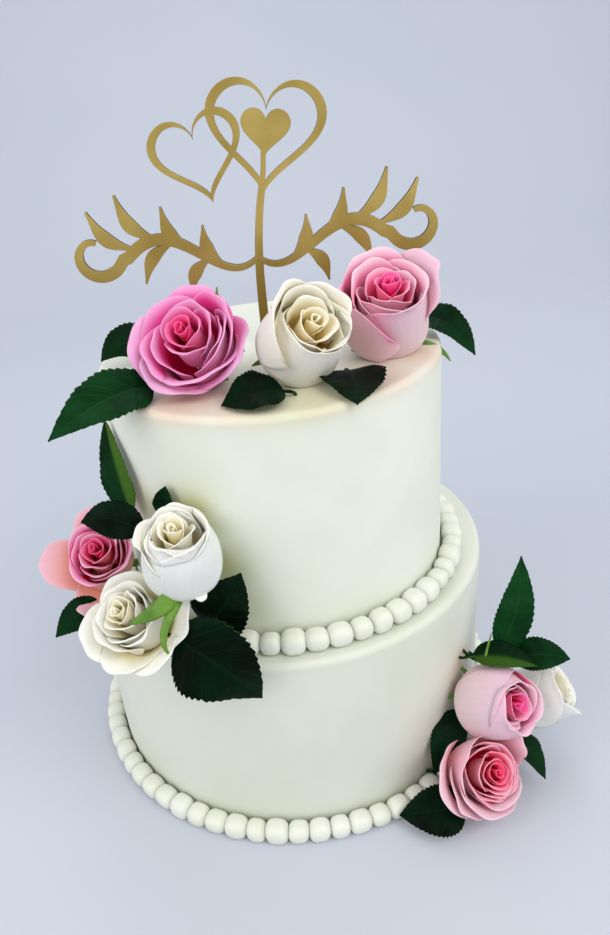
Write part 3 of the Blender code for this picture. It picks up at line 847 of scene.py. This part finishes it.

# Each inside and heart run starts deep at its root: partly the petal's own colour, partly painted shade and
# reflected light between the petals.
hot_pink = petal_finish(
    "petal_hot_pink",
    inside=[(0, 206, 0, 80), (0.5, 232, 0, 102), (0.76, 236, 64, 148), (1, 236, 158, 202)],
    outside=[(0, 238, 205, 200), (0.5, 228, 138, 184), (0.85, 230, 162, 202),
             (1, 230, 170, 206)],
    heart=[(0, 186, 0, 40), (0.75, 222, 4, 76), (1, 242, 80, 146)],
)
pale_pink = petal_finish(
    "petal_pale_pink",
    inside=[(0, 240, 0, 100), (0.45, 246, 64, 134), (0.82, 244, 136, 174), (1, 240, 194, 208)],
    outside=[(0, 234, 216, 204), (0.5, 232, 190, 196), (1, 234, 184, 202)],
    heart=[(0, 214, 0, 76), (0.75, 240, 6, 106), (1, 248, 96, 160)],
)
coral = petal_finish(
    "petal_coral",
    inside=[(0, 240, 0, 56), (0.55, 248, 36, 86), (0.84, 250, 104, 138), (1, 248, 172, 190)],
    outside=[(0, 236, 180, 156), (0.45, 234, 168, 174), (1, 232, 188, 202)],
    heart=[(0, 190, 0, 30), (0.75, 236, 0, 58), (1, 248, 84, 126)],
)
rosy_pink = petal_finish(
    "petal_rosy_pink",
    inside=[(0, 236, 0, 84), (0.55, 246, 40, 118), (0.84, 248, 112, 168), (1, 248, 176, 206)],
    outside=[(0, 236, 150, 112), (0.45, 233, 160, 144), (1, 230, 172, 186)],
    heart=[(0, 206, 0, 44), (0.75, 240, 8, 82), (1, 250, 96, 150)],
)
# The golden roots of the white insides are partly a cream centre of their own and partly painted warm
# reflected light between the petals.
cream_white = petal_finish(
    "petal_cream_white",
    inside=[(0, 248, 212, 110), (0.5, 246, 231, 178), (0.85, 242, 239, 219), (1, 240, 240, 231)],
    outside=[(0, 226, 232, 200), (0.5, 231, 233, 226), (1, 236, 237, 231)],
    heart=[(0, 232, 200, 116), (0.75, 240, 224, 168), (1, 242, 237, 210)],
    scatter=(1.0, 0.95, 0.85),
)
warm_white = petal_finish(
    "petal_warm_white",
    inside=[(0, 252, 196, 84), (0.45, 252, 220, 136), (0.82, 248, 236, 196), (1, 244, 240, 222)],
    outside=[(0, 238, 236, 202), (0.5, 240, 237, 220), (1, 242, 239, 226)],
    heart=[(0, 234, 190, 96), (0.75, 242, 218, 150), (1, 246, 236, 200)],
    scatter=(1.0, 0.95, 0.85),
)


def cup(azimuth, mid=-4, tip=2, length=38, width=28, curl=45, roll=20, root=(6, 1), **more):
    """An outer petal that still stands round the bud."""
    return Petal(azimuth, root, (88, mid, tip), length, width, curl, roll, **more)


def bowl(azimuth, mid=18, tip=44, length=37, width=24, curl=40, roll=60, root=(5, 1), **more):
    """An outer petal that has opened and turns its rim out."""
    return Petal(azimuth, root, (86, mid, tip), length, width, curl, roll, **more)


def inner(azimuth, mid=0, tip=4, length=33, width=18, curl=40, roll=30, root=(5, 4), **more):
    """A petal between the heart and the outer ones."""
    return Petal(azimuth, root, (78, mid, tip), length, width, curl, roll, order=0.7, **more)


# Each rose: mouth, the way it faces and the stem's end as in the frame; petals of its heart as count
# and radius; sepals; the other petals by the way they stand (0 right, 90 up as it is looked at), then
# leans from the knee on and at the rim, length and width
ROSES = {
    "top_hot_pink": dict(
        mouth=(-32.2, -60, 250.6), faces=(-0.20, -0.66, 0.72), scale=0.93, anchor=(-22, -6, 209),
        material=hot_pink, slot="hot_pink_petal", seed=11, heart=(9, 7), sepals=star(20),
        straps=[(((-18, -44, 252), (-17.4, -44.6, 256), (-17.4, -45, 260), (-16.7, -45, 263.4)), 1.6)],
        petals=[
            inner(-15, 0, 6, 33, 15), inner(80, 0, 8, 33, 15), inner(190, 0, 8),
            inner(340, 0, 10, 34, 20, root=(7, 4)), bowl(125, 12, 40, 34, root=(6, 3)),
            bowl(200, 8, 24, 34, root=(6, 3)), bowl(80, 18, 38, curl=50),
            bowl(20, 8, 14, 40, 25, roll=30, curl=30), bowl(165, 20, 44, 38, 26, pale=0.6),
            bowl(225, 16, 38, 37, 28, pale=0.8, fall=0.3),
            bowl(278, 6, 26, 37, 31, root=(6, 1), pale=0.5, fall=0.3), bowl(330, 18, 40, 36, 27, pale=0.5),
        ],
    ),
    "top_white": dict(
        mouth=(21.3, -67, 250.6), faces=(0.36, -0.66, 0.66), scale=0.86, anchor=(7, -8, 210),
        material=warm_white, slot="white_petal", seed=12, heart=(8, 7), sepals=star(50),
        petals=[
            inner(60, 0, 0, 34), inner(190, 0, -6, 33, 20), inner(320, 0, 0, 34, 20),
            cup(100, -4, 4, 43, root=(4, 2)), cup(0, -2, -4, 42, root=(5, 2)),
            cup(150, -4, 2, 49, 30, root=(7, 1), fall=0.34),
            cup(335, -6, -14, 43, 30, root=(7, 1), curl=50, fall=0.34),
            cup(238, -8, -30, 45, 36, root=(9, 0), curl=50, fall=0.36),
            cup(50, -4, 0, 46, root=(7, 1), fall=0.3),
        ],
    ),
    "top_pale_pink": dict(
        mouth=(56.8, -40, 254.2), faces=(0.02, -0.50, 0.87), scale=0.92, anchor=(58, 0, 208),
        material=pale_pink, slot="pale_pink_petal", seed=13, heart=(9, 7), sepals=star(-20),
        straps=[(((70, -24, 223), (78, -30, 222.5), (83, -31, 220), (86.3, -30, 213.4)), 4)],
        petals=[
            inner(80, 0, 4), inner(200, 0, 4), inner(320, 0, 4, 34), cup(130, -4, 6, 44, root=(4, 1)),
            cup(20, -4, 6, 44, root=(4, 1)), cup(250, -6, -10, 43, 26, root=(5, 0), fall=0.32),
            cup(105, -4, 10, 47, 28, root=(7, 0)), cup(205, -2, 10, 50, 28, root=(8, -1), fall=0.34),
            cup(300, -8, -16, 47, 33, root=(8, -2), curl=50, fall=0.36),
            cup(30, -2, 14, 49, 22, root=(7, 0), roll=60, pale=1),
        ],
    ),
    "left_pink": dict(
        mouth=(-87.5, -65, 152.4), faces=(-0.02, -0.60, 0.80), scale=0.76, anchor=(-66, -26, 118),
        material=rosy_pink, slot="coral_petal", seed=14, heart=(9, 7), sepals=star(0, length=12, hang=115),
        petals=[
            inner(30), inner(150), inner(270), cup(60, -4, 14), cup(330, -4, 18),
            cup(120, -4, 12, root=(7, 1)), cup(230, -4, 16, 38, 24, root=(7, 1)),
            bowl(176, 50, 70, 40.4, 22, curl=10, roll=20, pale=1),
            bowl(258, 50, 70, 38, 20, curl=10, roll=20, pale=1), bowl(90, 18, 50, 42, pale=1),
        ],
    ),
    "left_white_bud": dict(
        mouth=(-44.4, -101, 180), faces=(0.02, -0.32, 0.95), scale=0.82, anchor=(-38, -66, 130),
        material=cream_white, slot="white_petal", seed=15, heart=(8, 6),
        sepals=[(60, 14, 5, 90, 125), (130, 14, 5, 90, 125), (310, 14, 5, 80, 125)],
        straps=[
            (((-46, -100, 152), (-50, -116, 154), (-58, -118, 152), (-66, -118, 149)), 10),
            (((-46, -102, 150), (-47, -117, 152), (-58, -121, 143), (-51.5, -120.5, 132)), 5),
        ],
        petals=[
            inner(90, 0, 0), inner(190, 0, -2), inner(310, -3, -8), cup(110, -4, 2, 41, root=(4, 1)),
            cup(170, -4, 0, 42, 22, curl=60, fall=0.3), cup(20, -4, -6, 42, 26, fall=0.3),
            cup(70, -3, 0, 41, 24, fall=0.3),
            cup(318, -8, -22, 43, 30, root=(8, -1), curl=30, roll=20, fall=0.34),
            cup(256, -8, -46, 46, 36, root=(9, -2), curl=8, roll=10, fall=0.22),
            Petal(296, (12, -2), (85, 30, 105), 16, 7, 10, 30, pale=1, fall=0.8),
        ],
    ),
    "left_white_open": dict(
        mouth=(-72.3, -106, 146), faces=(-0.34, -0.50, 0.79), scale=0.75, anchor=(-58, -76, 88),
        material=cream_white, slot="white_petal", seed=16, heart=(10, 7),
        sepals=star(10, length=12, hang=115),
        petals=[
            inner(30), inner(150), inner(275, 0, 10, 35), cup(90, -4, 14), cup(200, -4, 20, 38, 24),
            cup(310, -4, 20, 38, 24), bowl(185, 30, 50, 39, 27, curl=15, roll=30),
            bowl(345, 38, 70, 40, 27, curl=15, roll=30),
            bowl(250, 32, 54, 36, 30, curl=10, roll=30, fall=0.34),
            bowl(300, 38, 60, 40, 28, curl=10, roll=30, fall=0.34), bowl(100, 18, 30, 38),
        ],
    ),
    "right_pale_pink": dict(
        mouth=(105, -95.5, 56.6), faces=(0.50, -0.74, 0.42), scale=0.85, anchor=(66, -46, 36),
        material=pale_pink, slot="pale_pink_petal", seed=17, heart=(8, 6), sepals=star(30),
        straps=[(((93.6, -79, 75), (94.2, -79, 78.5), (95.5, -77, 82), (97.5, -75, 85.8)), 1.0)],
        petals=[
            inner(40, -4, -10, root=(3, 5)), inner(160, -4, -10, root=(3, 5)),
            inner(280, -4, -8, root=(3, 5)), cup(20, -8, -12, 43, root=(5, 1), fall=0.3),
            cup(100, -9, -30, 46, 32, root=(8, 1), fall=0.34),
            cup(345, -8, -12, 44, 28, root=(8, 1), curl=50, fall=0.34),
            cup(290, -8, -10, 43, 22, root=(8, 1), curl=80, roll=40, fall=0.4),
            cup(195, -9, -42, 48, 34, root=(10, 0), curl=24, roll=30, fall=0.3),
        ],
    ),
    "right_coral": dict(
        mouth=(91, -110.5, 28.8), faces=(0.28, -0.66, 0.69), scale=0.79, anchor=(66, -52, 24),
        material=coral, slot="coral_petal", seed=18, heart=(11, 8),
        sepals=[(70, 13, 5, 90, 115), (130, 13, 5, 90, 115)],
        petals=[
            inner(-20), inner(100), inner(215, 0, 10, 33, 20, root=(7, 4)), inner(280, 0, 2), cup(60),
            cup(320, -4, 4, 37), cup(240, -4, 6, 36),
            bowl(211, 22, 38, 42, 27, root=(5, 2), curl=15, roll=15, pale=1, fall=0.3),
            cup(150, -2, 6, 46, 28, root=(9, 1), curl=10, roll=10, pale=0.6),
            bowl(186, 28, 40, 49, 34, curl=10, roll=20, pale=1, fall=0.34),
            bowl(238, 14, 28, 41, 38, root=(5, 3), curl=15, roll=20, pale=1, fall=0.3),
            bowl(290, 4, 20, 37, 30, root=(6, 3), curl=20, roll=20, pale=1, fall=0.34),
            cup(40, 6, 24, 44, 18, curl=30, roll=70, pale=0.7, root=(8, 1)),
        ],
    ),
    "right_white": dict(
        mouth=(136, -74, 44), faces=(0.84, -0.16, 0.52), scale=0.80, anchor=(84, -44, 20),
        material=cream_white, slot="white_petal", seed=19, heart=(9, 8), sepals=star(40, length=12, hang=115),
        petals=[
            inner(40), inner(160), inner(280), cup(20, -4, 6, 44), cup(110, -4, 10, 44, root=(7, 1)),
            cup(200, -4, 2, 44, root=(7, 1), fall=0.34),
            cup(285, -4, -4, 44, root=(7, 1), curl=20, fall=0.34),
        ],
    ),
}

# Each leaf: root, the point its rib bends towards, tip, the way its face looks, width
LEAVES = {
    "top_long": ((-45, -54, 223.5), (-62, -60, 233), (-88, -91, 221.5), (0.0, -0.6, 0.8), 30),
    "top_back": ((-48, -8, 225), (-64, -10, 240), (-77, -18, 227), (-0.1, -0.7, 0.7), 22),
    "top_front": ((10, -72, 223.5), (-5, -78, 229.5), (-19.5, -77.5, 223), (0, -0.3, 1), 29),
    "top_middle": ((35, -52, 223.2), (37, -68, 226.5), (34.5, -90, 222.8), (0, -0.1, 1), 32),
    "top_right": ((72, -4, 226), (88, -14, 236), (98, -30, 215), (0.1, -0.5, 0.85), 22),
    "left_tall": ((-67, -63, 162), (-73.5, -58, 186), (-75, -45, 209), (-0.55, -0.8, 0.2), 21),
    "left_small": ((-50, -76, 170), (-50, -77, 180), (-48, -78, 189), (-0.5, -0.85, 0.1), 14),
    "left_over": ((-58, -80, 165), (-72, -80, 182), (-89, -72, 172), (0, -0.7, 0.7), 20),
    "left_low": ((-88, -68, 124), (-98, -77, 129), (-110, -84, 119), (-0.1, -0.7, 0.7), 18),
    "left_upper": ((-41, -98, 127), (-30, -106, 138), (-20, -95, 152), (-0.1, -0.9, 0.4), 31),
    "left_big": ((-54, -107, 133), (-36, -127, 137), (-17, -114, 97.5), (-0.1, -0.9, 0.45), 42),
    "right_tall": ((99, -72, 68), (114, -72, 86), (119, -50, 112), (-0.2, -0.8, 0.55), 21),
    "right_side": ((108, -66, 59), (122, -76, 73), (138, -76, 64), (0, -0.6, 0.8), 20),
    "right_flat": ((86, -70, 67), (101, -78, 78), (119, -82, 67.5), (-0.3, -0.3, 0.9), 17),
    "right_inner": ((83.5, -74, 40), (73, -91.5, 36), (64, -97.5, 16), (-0.4, -0.8, 0.4), 20),
    "right_floor": ((79, -114, 9), (63, -119, 17), (43, -113, 8), (-0.1, -0.6, 0.8), 28),
    "right_edge": ((106, -85, 25), (114, -94, 27), (119, -104, 12), (0.5, -0.5, 0.7), 18),
}

# How light some leaves' green is painted and how much lighter their one half is, both painted light where
# light falls on them
LEAF_TONES = {
    "top_long": (0.65,), "top_back": (0.3,), "top_right": (0.45,), "left_tall": (0.5, 0.5),
    "left_small": (0.2,), "left_low": (0.5,), "right_tall": (0.8,), "right_side": (0.6,),
    "right_flat": (0.3, 0.3), "right_inner": (0.15,), "right_edge": (0.35,),
}


# Stage


def backdrop():
    """Pale paper sweep: a flat floor that rises behind in a quarter circle to a wall."""
    bend = np.linspace(0, math.pi / 2, 24)
    radius = 0.8
    floor_y = np.linspace(-2.5, 0.9, 30)
    y = np.concatenate([floor_y, 0.9 + radius * np.sin(bend)[1:], np.full(10, 0.9 + radius)])
    z = np.concatenate([np.zeros(30), radius * (1 - np.cos(bend))[1:], np.linspace(radius, 3.5, 11)[1:]])
    x = np.linspace(-3, 3, 20)[None, :]
    sheet = np.stack([x + 0 * y[:, None], y[:, None] + 0 * x, z[:, None] + 0 * x], -1)
    made = Finish("paper")
    tone = made.tones(made.noise(1.2, 2), [(0.3, 184, 190, 201), (0.7, 188, 193, 204)])
    faces = quads(*sheet.shape[:2]).tolist()
    obj = in_scene("backdrop", smooth_mesh("backdrop", sheet.reshape(-1, 3), faces, made.finish(tone, 0.9)))


def area_light(name, place, target, size, power, shade):
    """A soft box that looks at a point."""
    light = bpy.data.lights.new(name, "AREA")
    light.shape = "DISK"
    light.size = size
    light.energy = power
    light.color = shade
    obj = in_scene(name, light)
    obj.location = place
    obj.rotation_euler = (Vector(target) - Vector(place)).to_track_quat("-Z", "Y").to_euler()


def lights_and_world():
    """Soft key from the right, fill from the left, a low light at the side, one behind, a pale world."""
    middle = (0, 0, 0.14)
    area_light("key", (0.85, -1.05, 1.5), middle, 1.3, 15.2, (1.0, 0.99, 0.97))
    area_light("fill", (-1.3, -0.8, 1.0), middle, 1.4, 11, (1.0, 1.0, 1.0))
    area_light("side", (1.5, -0.5, 0.45), middle, 1.0, 2.7, (1.0, 0.99, 0.97))
    area_light("back", (0.0, 1.0, 1.4), middle, 1.2, 6, (0.97, 0.98, 1.0))
    world = bpy.data.worlds.new("studio")
    world.use_nodes = True
    background = world.node_tree.nodes["Background"]
    background.inputs["Color"].default_value = colour(232, 232, 233)
    background.inputs["Strength"].default_value = 1.0
    bpy.context.scene.world = world


def photo_camera():
    """The photograph's camera: its lens, the roll and the off-centre crop, from the values at the top."""
    e = CAMERA_ELEVATION
    forward = Vector((0, math.cos(e), -math.sin(e)))
    right = Vector((1, 0, 0))
    up = right.cross(forward)
    c, s = math.cos(CAMERA_ROLL), math.sin(CAMERA_ROLL)
    matrix = Matrix((c * right + s * up, -s * right + c * up, -forward)).transposed().to_4x4()
    matrix.translation = CAMERA_TARGET - forward * CAMERA_DISTANCE
    data = bpy.data.cameras.new("camera")
    data.sensor_width = 36
    data.lens = FOCAL_PIXELS / IMAGE_HEIGHT * data.sensor_width
    data.shift_x = (IMAGE_WIDTH / 2 - IMAGE_CENTRE[0]) / IMAGE_HEIGHT
    data.shift_y = (IMAGE_CENTRE[1] - IMAGE_HEIGHT / 2) / IMAGE_HEIGHT
    data.clip_start = 0.01
    obj = in_scene("camera", data)
    obj.matrix_world = matrix
    bpy.context.scene.camera = obj


def main():
    tier_piece("cream_lower", LOWER_RADIUS, 0.0, LOWER_HEIGHT, (0, 0), ivory_below, "tier_lower", 0.3)
    tier_piece("cream_upper", UPPER_RADIUS, UPPER_FLOOR, TOP, UPPER_SHIFT, ivory, "tier_upper", 1.9)
    ring_gap = PEARL_RADIUS + 0.3 * MM
    lower_ring, upper_ring = LOWER_RADIUS + ring_gap, UPPER_RADIUS + ring_gap
    pearl_ring("pearls_lower", lower_ring, 0.0, (0, 0), 3, pearl_ivory, "border_lower")
    pearl_ring("pearls_upper", upper_ring, LOWER_HEIGHT, UPPER_SHIFT, 5, pearl_ivory, "border_upper")
    for name, rose in ROSES.items():
        rose_pieces(name, rose)
    for name, leaf in LEAVES.items():
        leaf_piece(name, leaf, *LEAF_TONES.get(name, ()))
    topper_piece(gold)
    backdrop()
    lights_and_world()
    photo_camera()
    bpy.context.scene.view_settings.view_transform = "Standard"


main()
